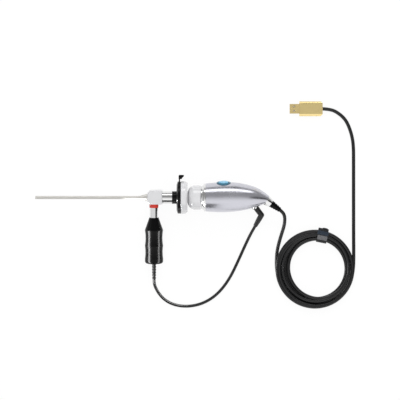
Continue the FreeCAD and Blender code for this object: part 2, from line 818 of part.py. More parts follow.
def build_coupler():
    """The white disc with its tube, and the focus ring that drives the lens cell through a pin."""
    floor = S.eyecup_seat_x + S.gap
    housing = turned("coupler_housing", "coupler", [
        (floor, S.light_bore_r),
        (S.disc_length, S.light_bore_r),
        (S.disc_length, S.cell_bore_r),
        (TUBE_END, S.cell_bore_r),
        (TUBE_END, S.neck_r),
        (S.disc_length, S.neck_r),
        (S.disc_length, S.disc_r - S.disc_bevel),
        (S.disc_bevel_x, S.disc_r),
        (S.disc_edge, S.disc_r, S.disc_edge),
        (0, S.disc_r - S.disc_edge),
        (0, EYECUP_R + S.running),
        (floor, EYECUP_R + S.running),
    ])
    slot = new_sketch(housing, "XZ_Plane", height=-S.light_bore_r)
    reach = S.focus_travel + S.pin_r + S.gap
    box(slot, CELL_MIDDLE - reach, CELL_MIDDLE + reach, -S.pin_r - S.gap, S.pin_r + S.gap)
    pad(housing, slot, S.neck_r, cut=True)
    bore = S.neck_r + S.running
    turned("focus_ring", "coupler", [
        (S.ring_front_x, bore),
        (CELL_MIDDLE - reach, bore),
        (CELL_MIDDLE - reach, bore + S.pin_depth + S.gap),
        (CELL_MIDDLE + reach, bore + S.pin_depth + S.gap),
        (CELL_MIDDLE + reach, bore),
        (S.ring_end_x, bore),
        (S.ring_end_x, S.ring_r - S.gap),
        (S.ring_end_x - S.gap, S.ring_r),
        (S.ring_shoulder_x, S.ring_r, S.ring_shoulder_bow),
        (S.ring_front_x, S.ring_nose_r),
    ])
    cell_r = S.cell_bore_r - S.running
    inner_r = cell_r - S.cell_wall
    lip = S.cell_x + 1
    lip_r = inner_r - 0.7
    cell = turned("lens_cell", "coupler", [
        (S.cell_x, lip_r),
        (lip, lip_r),
        (lip, inner_r),
        (S.cell_x + S.cell_length, inner_r),
        (S.cell_x + S.cell_length, cell_r),
        (S.cell_x, cell_r),
    ])
    pin = new_sketch(cell, "XZ_Plane", height=-(inner_r + S.cell_wall / 2))
    circles(pin, [(CELL_MIDDLE, 0, S.pin_r)])
    pad(cell, pin, S.neck_r + S.pin_depth - inner_r - S.cell_wall / 2, backward=True)
    crown = lip - dome(S.coupler_lens_face_r, lip_r)
    middle = crown + S.coupler_lens_t / 2
    lens("coupler_lens", "coupler", middle, S.coupler_lens_t, S.coupler_lens_face_r, inner_r - S.fit)
    thread = S.mount_thread_r
    turned("mount_thread", "coupler", [
        (S.ring_end_x + S.gap, S.neck_r + S.fit),
        (TUBE_END, S.neck_r + S.fit),
        (TUBE_END, thread),
        (S.chrome_front_x, thread),
        (S.chrome_front_x, thread + 1.2),
        (S.ring_end_x + S.gap, thread + 1.2),
    ])
    back = S.chrome_front_x + S.chrome_length
    bead_root = S.chrome_bead_r - 0.5
    turned("chrome_ring", "coupler", [
        (S.chrome_front_x, thread + S.fit),
        (back, thread + S.fit),
        (back, bead_root, waist(S.chrome_bead_t, 0.5)),
        (back - S.chrome_bead_t, bead_root),
        (back - S.chrome_bead_t - 0.4, S.chrome_front_r + 1.6),
        (S.chrome_front_x + 0.8, S.chrome_front_r),
        (S.chrome_front_x, S.chrome_front_r),
    ])


STATIONS = [(getattr(S, f"body_{i}_x"), getattr(S, f"body_{i}_y"), getattr(S, f"body_{i}_r")) for i in range(1, 7)]
TAIL = (S.tail_x, S.tail_y)
JACK = (S.jack_x, S.jack_y)
SCREWS = [(S.screw_front_x, S.screw_front_y), (S.screw_front_x, -S.screw_front_y), (S.screw_rear_x, -S.screw_rear_y)]
EYE_BOW = waist(S.button_length, S.button_width / 2)


def along_tail(distance):
    """A point of the tail's axis."""
    return (S.tail_x + distance * cosine(S.tail_lean), S.tail_y - distance * sine(S.tail_lean))


def hull(body, inset, cut=False):
    """The handpiece's round form, lofted through its sections and on into the leaning tail."""
    sections = []
    for x, y, radius in STATIONS:
        ring = new_sketch(body, "YZ_Plane", (y, 0), height=x)
        circles(ring, [(0, 0, radius - inset)])
        sections.append(ring)
    ring = new_sketch(body, "YZ_Plane", (S.tail_y, 0), height=S.tail_x)
    ring.AttachmentOffset = Placement(ring.AttachmentOffset.Base, Rotation(Vector(0, -1, 0), SIZES["tail_lean"]))
    ring.setExpression("AttachmentOffset.Rotation.Angle", S.tail_lean.text)
    circles(ring, [(0, 0, S.tail_r - inset)])
    loft = body.newObject("PartDesign::" + ("SubtractiveLoft" if cut else "AdditiveLoft"), "hull")
    loft.Profile = sections[0]
    loft.Sections = sections[1:] + [ring]
    return loft


def eye(body, plane_y, inset):
    """The pointed oval of the button pad, in a plane across the button's travel."""
    sketch = new_sketch(body, "XZ_Plane", (S.button_x, 0), height=-plane_y)
    half = S.button_length / 2 - inset * 1.4
    bow = waist(2 * half, S.button_width / 2 - inset)
    outline(sketch, [(-half, 0, bow), (half, 0, bow)])
    return sketch


def shell(name, side):
    """One half of the handpiece: side 1 is the user's left, and -1 the right, which holds the screw heads."""
    body = new_body(name, "camera")
    hull(body, 0)
    hull(body, S.shell_wall, cut=True)
    reach = S.body_3_r + 5
    for x, y in SCREWS:
        boss = new_sketch(body, "XY_Plane", (x, y))
        circles(boss, [(0, 0, S.boss_r)])
        station = STATIONS[0] if x is S.screw_front_x else STATIONS[4]
        depth = root(station[2] * station[2] - y * y) - S.shell_wall
        pad(body, boss, depth, backward=side < 0)
    half_board = S.board_width / 2
    low = S.board_y - S.shelf_depth
    wall_middle = (STATIONS[3][2] + STATIONS[4][2]) / 2 - S.shell_wall / 2
    shelves = ((S.shelf_x, STATIONS[2][2] - S.shell_wall), (S.rear_shelf_x, wall_middle))
    for x, outer in shelves:
        shelf = new_sketch(body, "YZ_Plane", height=x)
        wall_z = root(outer * outer - S.board_y * S.board_y)
        zs = (half_board - 1, wall_z) if side > 0 else (-wall_z, 1 - half_board)
        box(shelf, low, S.board_y, *zs)
        pad(body, shelf, S.shelf_t)
    half = new_sketch(body, "XY_Plane")
    box(half, -reach, S.tail_x + reach, -reach, reach)
    pad(body, half, reach, backward=side < 0, cut=True)
    revolve(body, tube(-S.jack_depth, S.jack_depth, 0, S.jack_r + S.fit), JACK, S.jack_lean, cut=True)
    revolve(body, tube(-S.jack_collar_t, S.jack_depth, 0, S.jack_collar_r + S.fit), JACK, S.jack_lean, cut=True)
    window = eye(body, S.bezel_top - S.bezel_depth - S.shell_wall, -S.fit)
    pad(body, window, S.bezel_depth + 2 * S.shell_wall, cut=True)
    for x, y in SCREWS:
        hole = new_sketch(body, "XY_Plane", (x, y))
        circles(hole, [(0, 0, S.screw_r + (S.fit if side > 0 else S.running))])
        deep = S.screw_length / 2 if side > 0 else reach
        pad(body, hole, deep, backward=side > 0, cut=True)
    if side < 0:
        for x, y in SCREWS:
            recess = new_sketch(body, "XY_Plane", (x, y), height=-S.screw_length / 2)
            circles(recess, [(0, 0, S.screw_head_r + S.running)])
            pad(body, recess, reach, cut=True)
    return body


def build_handpiece():
    """The two half shells, their screws, the chrome tail ring and the cable boot."""
    shell("left_shell", 1)
    shell("right_shell", -1)
    screws = []
    for x, y in SCREWS:
        stem = doc.addObject("Part::Cylinder", "stem")
        stem.setExpression("Radius", S.screw_r.text)
        stem.setExpression("Height", S.screw_length.text)
        stem.setExpression("Placement.Base.z", (-S.screw_length / 2).text)
        head = doc.addObject("Part::Cylinder", "head")
        head.setExpression("Radius", S.screw_head_r.text)
        head.setExpression("Height", S.screw_head_t.text)
        head.setExpression("Placement.Base.z", (-S.screw_length / 2 - S.screw_head_t).text)
        for piece in (stem, head):
            piece.setExpression("Placement.Base.x", x.text)
            piece.setExpression("Placement.Base.y", y.text)
        screw = doc.addObject("Part::Fuse", "screw")
        screw.Base = stem
        screw.Tool = head
        screws.append(screw)
    group_of("shell_screws", "camera", screws)
    spigot_r = S.tail_r - S.shell_wall - S.fit
    turned("tail_ring", "camera", [
        (-3, S.boot_root_r + S.fit),
        (S.tail_ring_length, S.boot_root_r + S.fit),
        (S.tail_ring_length, S.tail_ring_tip_r),
        (S.tail_ring_length / 2, S.tail_ring_tip_r + 0.9),
        (1, S.tail_r),
        (0, S.tail_r),
        (0, spigot_r),
        (-3, spigot_r),
    ], TAIL, S.tail_lean)
    boot = ribbed(-2, S.boot_root_r, S.tail_ring_length, S.tail_ring_length + S.boot_length,
                  S.boot_r, S.boot_tip_r, 4)
    turned("cable_boot", "camera", boot, TAIL, S.tail_lean)


def build_button():
    """The eye-shaped button in its bezel, over the switch that it presses."""
    bezel = new_body("button_bezel", "camera")
    pad(bezel, eye(bezel, S.bezel_top - S.bezel_depth, 0), S.bezel_depth, backward=True)
    pad(bezel, eye(bezel, S.bezel_top - S.bezel_depth - 1, S.button_rim), S.bezel_depth + 2, cut=True)
    cap = new_body("button_cap", "camera")
    pad(cap, eye(cap, S.button_bottom, S.button_rim + S.gap), S.button_top - S.button_bottom, backward=True)
    round_edges(cap, S.button_round, lambda e: e.BoundBox.YMin > SIZES["button_top"] - 0.01)
    switch = new_body("button_switch", "camera")
    top = S.board_y + S.board_t
    base = new_sketch(switch, "XZ_Plane", (S.button_x, 0), height=-top)
    box(base, -S.switch_side / 2, S.switch_side / 2, -S.switch_side / 2, S.switch_side / 2)
    pad(switch, base, S.switch_base, backward=True)
    plunger = new_sketch(switch, "XZ_Plane", (S.button_x, 0), height=-(top + S.switch_base))
    circles(plunger, [(0, 0, S.plunger_r)])
    pad(switch, plunger, S.button_bottom - S.button_travel - 0.1 - top - S.switch_base, backward=True)


def build_electronics():
    """The sensor behind the mount ring, the main board on its shelves, and the light plug's jack."""
    sensor = new_body("sensor_board", "camera")
    disc = new_sketch(sensor, "YZ_Plane", (S.body_1_y, 0), height=S.sensor_x)
    circles(disc, [(0, 0, S.body_1_r - S.shell_wall)])
    pad(sensor, disc, S.sensor_t)
    for name, front, thick, side in (
        ("image_sensor", S.sensor_x - S.chip_t, S.chip_t, S.chip_side),
        ("infrared_filter", S.sensor_x - S.chip_t - S.filter_t, S.filter_t, S.chip_side - 1),
    ):
        plate = new_body(name, "camera")
        square = new_sketch(plate, "YZ_Plane", height=front)
        box(square, -side / 2, side / 2, -side / 2, side / 2)
        pad(plate, square, thick)
    board = new_body("main_board", "camera")
    plan = new_sketch(board, "XZ_Plane", (S.sensor_x + S.sensor_t, 0), height=-S.board_y)
    box(plan, 0, S.board_length, -S.board_width / 2, S.board_width / 2)
    pad(board, plan, S.board_t, backward=True)
    turned("dc_jack", "camera", [
        (-S.jack_depth, 0),
        (1 - S.jack_depth, 0),
        (1 - S.jack_depth, S.jack_bore_r),
        (0, S.jack_bore_r),
        (0, S.jack_collar_r),
        (-S.jack_collar_t, S.jack_collar_r),
        (-S.jack_collar_t, S.jack_r),
        (-S.jack_depth, S.jack_r),
    ], JACK, S.jack_lean)


def build_light_plug():
    """The angled plug of the light source's lead: its pin, its two legs and the rounded elbow between them."""
    plug = new_body("light_plug", "camera")
    revolve(plug, [
        (-S.plug_pin_length, 0),
        (S.plug_leg, 0),
        (S.plug_leg, S.plug_r),
        (0, S.plug_r),
        (0, S.plug_pin_r),
        (-S.plug_pin_length, S.plug_pin_r),
    ], JACK, S.jack_lean)
    elbow = (S.jack_x + S.plug_leg * cosine(S.jack_lean), S.jack_y - S.plug_leg * sine(S.jack_lean))
    revolve(plug, [(-S.plug_r, 0), (S.plug_r, 0, S.plug_r), (0, S.plug_r, S.plug_r)], elbow)
    revolve(plug, [
        (0, 0),
        (S.plug_tail_length, 0),
        (S.plug_tail_length, S.plug_tip_r),
        (S.plug_tail_length * 0.45, S.plug_tail_r),
        (0, S.plug_r),
    ], elbow, S.plug_tail_lean)
    CORDS.append(plug)


def on_table(name, x, y, z=0):
    """A body that lies on the table, with its own zero at that point."""
    body = doc.addObject("PartDesign::Body", name + "_body")
    body.Label = name
    for axis, value in (("x", S.shift_x + x), ("y", S.shift_y + y), ("z", size(z))):
        body.setExpression(f"Placement.Base.{axis}", value.text)
    PARTS.append(body)
    CORDS.append(body)
    return body


def at_rest(point, group):
    """Where a point of a group's XY plane lies once the group has been leaned onto the table."""
    x, y = (size(v).value for v in point)
    lean = math.radians(ANGLES[group].value)
    return Vector(x, y * math.cos(lean), SIZES["disc_r"] + y * math.sin(lean))


# The cords' routes, above the table and measured from the coupler's disc. Their ends come from the sizes.
CLEAR = SIZES["light_cord_r"]
LOW = SIZES["usb_cord_r"]
LEAD = 8
USB_LEAD = 11
RELIEF = S.tail_ring_length + S.boot_length
OUTER_TURN = SIZES["coil_r"] - SIZES["usb_cord_r"]
COIL_LEFT = Vector(SIZES["coil_x"] - OUTER_TURN, SIZES["coil_y"], LOW)
COIL_RIGHT = Vector(SIZES["coil_x"] + OUTER_TURN, SIZES["coil_y"], LOW)
PLUG_END = Vector(SIZES["usb_x"], SIZES["usb_y"], SIZES["usb_t"] / 2)
PLUG_TIP = (
    S.jack_x + S.plug_leg * cosine(S.jack_lean) + S.plug_tail_length * cosine(S.plug_tail_lean),
    S.jack_y - S.plug_leg * sine(S.jack_lean) - S.plug_tail_length * sine(S.plug_tail_lean),
)
PLUG_LEAD = (PLUG_TIP[0] + LEAD * cosine(S.plug_tail_lean), PLUG_TIP[1] - LEAD * sine(S.plug_tail_lean))
LIGHT_ROUTE = [
    at_rest((S.post_x, -S.relief_end), "scope"),
    at_rest((S.post_x, -S.relief_end - LEAD), "scope"),
    Vector(-31.6, -113.0, 6.4),
    Vector(-27.2, -120.8, 4.6),
    Vector(-20.9, -127.7, 3.1),
    Vector(-12.0, -133.2, 2.1),
    Vector(0.0, -136.3, CLEAR),
    Vector(14.0, -136.2, CLEAR),
    Vector(28.0, -132.5, CLEAR),
    Vector(41.0, -125.0, CLEAR),
    Vector(52.5, -113.8, CLEAR),
    Vector(62.8, -98.5, CLEAR),
    Vector(71.8, -79.5, CLEAR),
    Vector(80.2, -60.8, 2.0),
    Vector(86.4, -47.6, 3.9),
    at_rest(PLUG_LEAD, "camera"),
    at_rest(PLUG_TIP, "camera"),
]
USB_HEAD_ROUTE = [
    at_rest(along_tail(RELIEF), "camera"),
    at_rest(along_tail(RELIEF + LEAD), "camera"),
    Vector(131.8, -26.4, 11.3),
    Vector(130.9, -35.5, 8.6),
    Vector(128.3, -44.8, 5.7),
    Vector(125.0, -55.3, 3.4),
    Vector(122.0, -66.3, 2.3),
    Vector(120.4, -77.5, LOW),
    COIL_LEFT,
]
USB_TAIL_ROUTE = [
    COIL_RIGHT,
    Vector(215.6, -72.0, LOW),
    Vector(215.8, 62.0, LOW),
    Vector(214.9, 74.0, LOW),
    Vector(211.6, 85.6, LOW),
    Vector(205.8, 96.2, 2.4),
    Vector(198.0, 105.6, 3.4),
    PLUG_END + Vector(USB_LEAD, 0, 0),
    PLUG_END,
]


def cord(name, route, radius):
    """A round cord along straight runs joined by tangent arcs, each as large as its two runs allow."""
    edges = []
    radii = []
    start = route[0]
    for before, corner, after in zip(route, route[1:], route[2:]):
        back, ahead = before - corner, after - corner
        reach = 0.45 * min(back.Length, ahead.Length)
        back.normalize()
        ahead.normalize()
        half_turn = (math.pi - back.getAngle(ahead)) / 2
        arc_start, arc_stop = corner + back * reach, corner + ahead * reach
        bend = reach / math.tan(half_turn)
        inward = (back + ahead).normalize()
        middle = corner + inward * (bend / math.cos(half_turn) - bend)
        edges.append(Part.LineSegment(start, arc_start).toShape())
        edges.append(Part.Arc(arc_start, middle, arc_stop).toShape())
        radii.append(bend)
        start = arc_stop
    edges.append(Part.LineSegment(start, route[-1]).toShape())
    path = Part.Wire(edges)
    end = Part.Wire(Part.makeCircle(radius, route[0], route[1] - route[0]))
    solid = path.makePipeShell([end], True, False)
    share = solid.Volume / (math.pi * radius**2 * path.Length)
    print(f"{name}: length {path.Length:.1f}, volume share {share:.4f}, radii",
          " ".join(f"{r:.0f}" for r in radii))
    feature = doc.addObject("Part::Feature", name + "_tube")
    feature.Shape = solid
    feature.Label = name
    feature.setExpression("Placement.Base.x", S.shift_x.text)
    feature.setExpression("Placement.Base.y", S.shift_y.text)
    PARTS.append(feature)
    CORDS.append(feature)


def build_coil():
    """The coiled cord as one ring, and the strap that is wound round it."""
    ring = doc.addObject("PartDesign::Body", "ring_body")
    section = new_sketch(ring, "XZ_Plane")
    low, high = S.coil_inner_r, S.coil_r
    top, bow = S.coil_height, S.coil_round
    outline(section, [
        (low + bow, 0),
        (high - bow, 0, bow),
        (high, bow),
        (high, top - bow, bow),
        (high - bow, top),
        (low + bow, top, bow),
        (low, top - bow),
        (low, bow, bow),
    ])
    turn = ring.newObject("PartDesign::Revolution", "turn")
    turn.Profile = section
    turn.ReferenceAxis = (section, ["V_Axis"])
    turn.Angle = 360
    band = on_table("cord_tie", S.coil_x, S.coil_y)
    around = new_sketch(band, "XZ_Plane")
    box(around, low - S.tie_t, high + S.tie_t, 0, top + S.tie_t)
    pad(band, around, S.tie_width, midplane=True)
    inside = new_sketch(band, "XZ_Plane")
    box(inside, low, high, S.tie_t, top)
    pad(band, inside, S.tie_width + 1, midplane=True, cut=True)
    fold = new_sketch(band, "XZ_Plane")
    box(fold, high + S.tie_t, high + S.tie_t + S.tie_tail_t, S.tie_t, top - S.tie_t)
    pad(band, fold, S.tie_tail_width, midplane=True)
    band.Placement = Placement(Vector(0, 0, 0), Rotation(Z_AXIS, SIZES["tie_angle"]))
    band.setExpression("Placement.Rotation.Angle", S.tie_angle.text)
    ring.setExpression("Placement.Base.x", (S.shift_x + S.coil_x).text)
    ring.setExpression("Placement.Base.y", (S.shift_y + S.coil_y).text)
    coil = doc.addObject("Part::Cut", "coil_cut")
    coil.Base = ring
    coil.Tool = band
    coil.Label = "usb_coil"
    PARTS.append(coil)
    CORDS.append(coil)


def build_usb_plug():
    """The gold plug: its moulded housing, the windowed metal shell, the tongue and its contacts."""
    middle = S.usb_t / 2
    half = S.usb_width / 2
    housing = on_table("usb_plug_housing", S.usb_x, S.usb_y, middle)
    plan = new_sketch(housing, "XY_Plane", height=-middle)
    outline(plan, [
        (-S.usb_length, -half),
        (-S.usb_chamfer, -half),
        (0, S.usb_chamfer - half),
        (0, half - S.usb_chamfer),
        (-S.usb_chamfer, half),
        (-S.usb_length, half),
    ])
    pad(housing, plan, S.usb_t)
    round_edges(housing, S.usb_nose_round, lambda e: e.BoundBox.ZLength < 0.01 and e.BoundBox.XLength > 5)
    root_x = S.usb_shell_root - S.usb_length
    mouth = new_sketch(housing, "YZ_Plane", height=root_x)
    wide, thick = S.usb_shell_width / 2, S.usb_shell_t / 2
    box(mouth, -wide - S.fit, wide + S.fit, -thick - S.fit, thick + S.fit)
    pad(housing, mouth, S.usb_shell_root + 1, cut=True)
    tip_x = -S.usb_length - S.usb_shell_length
    case = on_table("usb_shell", S.usb_x, S.usb_y, middle)
    outer = new_sketch(case, "YZ_Plane", height=tip_x)
    box(outer, -wide, wide, -thick, thick)
    pad(case, outer, S.usb_shell_length + S.usb_shell_root)
    inner = new_sketch(case, "YZ_Plane", height=root_x)
    wall = S.usb_shell_wall
    box(inner, wall - wide, wide - wall, wall - thick, thick - wall)
    pad(case, inner, S.usb_shell_length + S.usb_shell_root + 1, cut=True)
    for side in (-1, 1):
        window = new_sketch(case, "XY_Plane", (tip_x + S.window_from_tip, side * S.window_apart / 2), height=middle)
        box(window, -S.window_length / 2, S.window_length / 2, -S.window_width / 2, S.window_width / 2)
        pad(case, window, S.usb_t, cut=True)
    tongue = on_table("usb_tongue", S.usb_x, S.usb_y, middle)
    slab = new_sketch(tongue, "YZ_Plane", height=tip_x + 0.6)
    box(slab, wall + S.fit - wide, wide - wall - S.fit, wall + S.fit - thick, wall - thick + S.tongue_t)
    pad(tongue, slab, root_x - tip_x - 0.6)
    pads = []
    for i in range(4):
        contact = doc.addObject("Part::Box", "contact")
        contact.setExpression("Length", S.contact_length.text)
        contact.setExpression("Width", S.contact_width.text)
        contact.setExpression("Height", S.contact_t.text)
        contact.setExpression("Placement.Base.x", (tip_x + 1.2).text)
        contact.setExpression("Placement.Base.y", (S.contact_pitch * (i - 1.5) - S.contact_width / 2).text)
        contact.setExpression("Placement.Base.z", (wall - thick + S.tongue_t).text)
        pads.append(contact)
    contacts = doc.addObject("Part::Compound", "contact_set")
    contacts.Links = pads
    contacts.Label = "usb_contacts"
    for axis, value in (("x", S.shift_x + S.usb_x), ("y", S.shift_y + S.usb_y), ("z", middle)):
        contacts.setExpression(f"Placement.Base.{axis}", value.text)
    PARTS.append(contacts)
    CORDS.append(contacts)


def centre_on_origin():
    """Puts the middle of the object's footprint, without its cords and plugs, over the origin."""
    doc.recompute()
    solids = [p.Shape for p in PARTS if p not in CORDS]
    spans = [s.optimalBoundingBox(False) for s in solids]
    middle_x = (min(b.XMin for b in spans) + max(b.XMax for b in spans)) / 2
    middle_y = (min(b.YMin for b in spans) + max(b.YMax for b in spans)) / 2
    for alias, value in (("shift_x", -middle_x), ("shift_y", -middle_y)):
        S.cells.set(S.cells.getCellFromAlias(alias), f"{value:.3f}")
        print(f"{alias} {value:.3f}")
    doc.recompute()


def export():
    """Checks every object and writes each sub-part to its own file."""
    failed = [o.Label for o in doc.Objects if "Invalid" in o.State or "Error" in o.State]
    failed += [p.Label for p in PARTS if p.Shape.isNull() or not p.Shape.isValid()]
    if failed:
        raise RuntimeError(f"these did not build: {failed}")
    os.makedirs("parts", exist_ok=True)
    for piece in PARTS:
        piece.Shape.exportStep(f"parts/{piece.Label}.step")
    print(f"{len(PARTS)} sub-parts")


build_shaft()
build_head()
build_eyepiece()
build_light_source()
build_clamp()
build_coupler()
build_handpiece()
build_button()
build_electronics()
build_light_plug()
cord("light_cord", LIGHT_ROUTE, SIZES["light_cord_r"])
cord("usb_cord_head", USB_HEAD_ROUTE, SIZES["usb_cord_r"])
cord("usb_cord_tail", USB_TAIL_ROUTE, SIZES["usb_cord_r"])
build_coil()
build_usb_plug()
centre_on_origin()
export()
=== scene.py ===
import json
import math
import random

import bmesh
import bpy
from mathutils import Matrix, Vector


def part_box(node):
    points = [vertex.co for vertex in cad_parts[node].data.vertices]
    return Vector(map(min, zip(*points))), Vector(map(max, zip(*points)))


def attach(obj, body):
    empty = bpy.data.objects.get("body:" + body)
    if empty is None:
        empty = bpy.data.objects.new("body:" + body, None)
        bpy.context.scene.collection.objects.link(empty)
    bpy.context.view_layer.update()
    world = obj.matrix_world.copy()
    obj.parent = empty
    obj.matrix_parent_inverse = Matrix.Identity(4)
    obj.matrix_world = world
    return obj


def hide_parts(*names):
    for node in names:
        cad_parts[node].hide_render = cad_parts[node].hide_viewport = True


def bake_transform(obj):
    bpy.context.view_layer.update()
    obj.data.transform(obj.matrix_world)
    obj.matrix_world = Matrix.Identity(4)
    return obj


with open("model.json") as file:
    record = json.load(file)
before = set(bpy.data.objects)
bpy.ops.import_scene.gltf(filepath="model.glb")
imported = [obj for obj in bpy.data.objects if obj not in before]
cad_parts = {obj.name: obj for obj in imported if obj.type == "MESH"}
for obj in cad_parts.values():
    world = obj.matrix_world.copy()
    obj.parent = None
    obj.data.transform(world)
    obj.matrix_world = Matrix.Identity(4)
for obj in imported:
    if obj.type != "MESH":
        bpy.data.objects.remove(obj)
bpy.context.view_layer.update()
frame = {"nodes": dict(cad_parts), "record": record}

MM = 0.001

# The CAD's own zero: the middle of the coupler disc's front face, seen from above, on the surface.
low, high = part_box("coupler_housing")
ZERO = Vector((low[0], (low[1] + high[1]) / 2, 0))


def at(x, y, z):
    """A point in the row frame, from millimetres measured from the coupler's disc."""
    return ZERO + Vector((x, y, z)) * MM


def add(name, data):
    """A new object in the scene."""
    thing = bpy.data.objects.new(name, data)
    bpy.context.scene.collection.objects.link(thing)
    return thing


def flat_mesh(name, width, depth):
    """A rectangle round its own middle."""
    x, y = width / 2, depth / 2
    mesh = bpy.data.meshes.new(name)
    mesh.from_pydata([(-x, -y, 0), (x, -y, 0), (x, y, 0), (-x, y, 0)], [], [(0, 1, 2, 3)])
    return mesh


def bare_material(name):
    """A material with no nodes but its output, and its nodes, its links and that output."""
    material = bpy.data.materials.new(name)
    material.use_nodes = True
    nodes, links = material.node_tree.nodes, material.node_tree.links
    nodes.clear()
    return material, nodes, links, nodes.new("ShaderNodeOutputMaterial")


def face_target(thing, place, target):
    """Puts a lamp or board at place, with its front towards target and its second side upright."""
    thing.location = place
    towards = Vector(target) - Vector(place)
    thing.rotation_euler = towards.to_track_quat("-Z", "Y").to_euler()


# ---------------------------------------------------------------- camera, lights, floor

# The camera looks straight down, from this far above the surface.
CAMERA_PLACE = (24.0, -3.1, 2788)
CAMERA_LENS, CAMERA_SENSOR = 200, 36
CAMERA_REACH = 20
# The studio's dome: a dim band overhead, from left to right, between a paler front and back.
# Each pair is a place along DOME_SIDE, from 0 to 1, and the brightness there.
DOME_SIDE = (0, 0.961, -0.276)
DOME = ((0.0, 1.1), (0.15, 1.08), (0.28, 0.78), (0.42, 0.36), (0.67, 0.28), (0.72, 0.38),
        (1.0, 0.26))
FLOOR_SIZE = 12.0
FLOOR_DROP = 0.0001
FLOOR_SHADE = (0.9, 0.9, 0.9, 1)
# Seen directly or in a reflection, the floor is this much white backdrop. The rest keeps the
# shadow.
BACKDROP_SHARE = 0.9
BACKDROP_GLOW = 1.02


def build_camera():
    data = bpy.data.cameras.new("camera")
    data.type = "PERSP"
    data.lens = CAMERA_LENS
    data.sensor_width = CAMERA_SENSOR
    data.clip_end = CAMERA_REACH
    camera = add("camera", data)
    camera.location = at(*CAMERA_PLACE)
    bpy.context.scene.camera = camera


def area_light(name, place, target, size, glow, diffuse=True, glossy=True):
    """A lamp that the camera doesn't see; glow is its brightness, where 1 is white."""
    data = bpy.data.lights.new(name, "AREA")
    data.shape = "RECTANGLE"
    data.size, data.size_y = size
    data.energy = glow * math.pi * size[0] * size[1]
    lamp = add(name, data)
    face_target(lamp, place, target)
    lamp.visible_camera = False
    lamp.visible_diffuse = diffuse
    lamp.visible_glossy = glossy


def dark_board(name, place, target, size, glow):
    """A board well away from the object, nearly black, that only reflections see."""
    board = add(name, flat_mesh(name, *size))
    face_target(board, place, target)
    board.visible_camera = False
    board.visible_diffuse = False
    board.visible_shadow = False
    board.visible_transmission = False
    material, nodes, links, out = bare_material(name)
    light = nodes.new("ShaderNodeEmission")
    light.inputs["Strength"].default_value = glow
    links.new(light.outputs[0], out.inputs[0])
    board.data.materials.append(material)


def build_world():
    """A pale dome with the dim band, so that polished metal shows bands."""
    world = bpy.data.worlds.new("studio")
    world.use_nodes = True
    nodes, links = world.node_tree.nodes, world.node_tree.links
    nodes.clear()
    out = nodes.new("ShaderNodeOutputWorld")
    back = nodes.new("ShaderNodeBackground")
    where = nodes.new("ShaderNodeTexCoord")
    lean = nodes.new("ShaderNodeVectorMath")
    lean.operation = "DOT_PRODUCT"
    lean.inputs[1].default_value = DOME_SIDE
    spread = nodes.new("ShaderNodeMapRange")
    spread.inputs["From Min"].default_value = -1
    ramp = nodes.new("ShaderNodeValToRGB")
    links.new(where.outputs["Generated"], lean.inputs[0])
    links.new(lean.outputs["Value"], spread.inputs["Value"])
    links.new(spread.outputs[0], ramp.inputs[0])
    links.new(ramp.outputs[0], back.inputs["Color"])
    links.new(back.outputs[0], out.inputs[0])
    stops = ramp.color_ramp.elements
    for place, shade in DOME[1:-1]:
        stops.new(place).color = (shade, shade, shade, 1)
    for stop, (place, shade) in ((stops[0], DOME[0]), (stops[-1], DOME[-1])):
        stop.position = place
        stop.color = (shade, shade, shade, 1)
    bpy.context.scene.world = world


def build_floor():
    """A pale floor that takes the shadow and shows as a white backdrop, also in metal and glass."""
    floor = add("floor", flat_mesh("floor", FLOOR_SIZE, FLOOR_SIZE))
    floor.location.z = -FLOOR_DROP
    material, nodes, links, out = bare_material("floor_white")
    plain = nodes.new("ShaderNodeBsdfDiffuse")
    plain.inputs["Color"].default_value = FLOOR_SHADE
    glow = nodes.new("ShaderNodeEmission")
    glow.inputs["Color"].default_value = (1, 1, 1, 1)
    glow.inputs["Strength"].default_value = BACKDROP_GLOW
    seen = nodes.new("ShaderNodeLightPath")
    any_ray = seen.outputs["Is Camera Ray"]
    for kind in ("Is Glossy Ray", "Is Transmission Ray"):
        either = nodes.new("ShaderNodeMath")
        either.operation = "MAXIMUM"
        links.new(any_ray, either.inputs[0])
        links.new(seen.outputs[kind], either.inputs[1])
        any_ray = either.outputs[0]
    share = nodes.new("ShaderNodeMath")
    share.operation = "MULTIPLY"
    share.inputs[1].default_value = BACKDROP_SHARE
    links.new(any_ray, share.inputs[0])
    mix = nodes.new("ShaderNodeMixShader")
    links.new(share.outputs[0], mix.inputs[0])
    links.new(plain.outputs[0], mix.inputs[1])
    links.new(glow.outputs[0], mix.inputs[2])
    links.new(mix.outputs[0], out.inputs[0])
    floor.data.materials.append(material)


# ---------------------------------------------------------------- materials

DRIFT_SCALE = 60
BUMP_DEPTH = 0.0002
LEAST_ROUGHNESS = 0.02


def linear(r, g, b):
    """A linear colour from the 0-255 values that are seen."""
    def one(v):
        v /= 255
        return v / 12.92 if v <= 0.04045 else ((v + 0.055) / 1.055) ** 2.4
    return (one(r), one(g), one(b), 1)


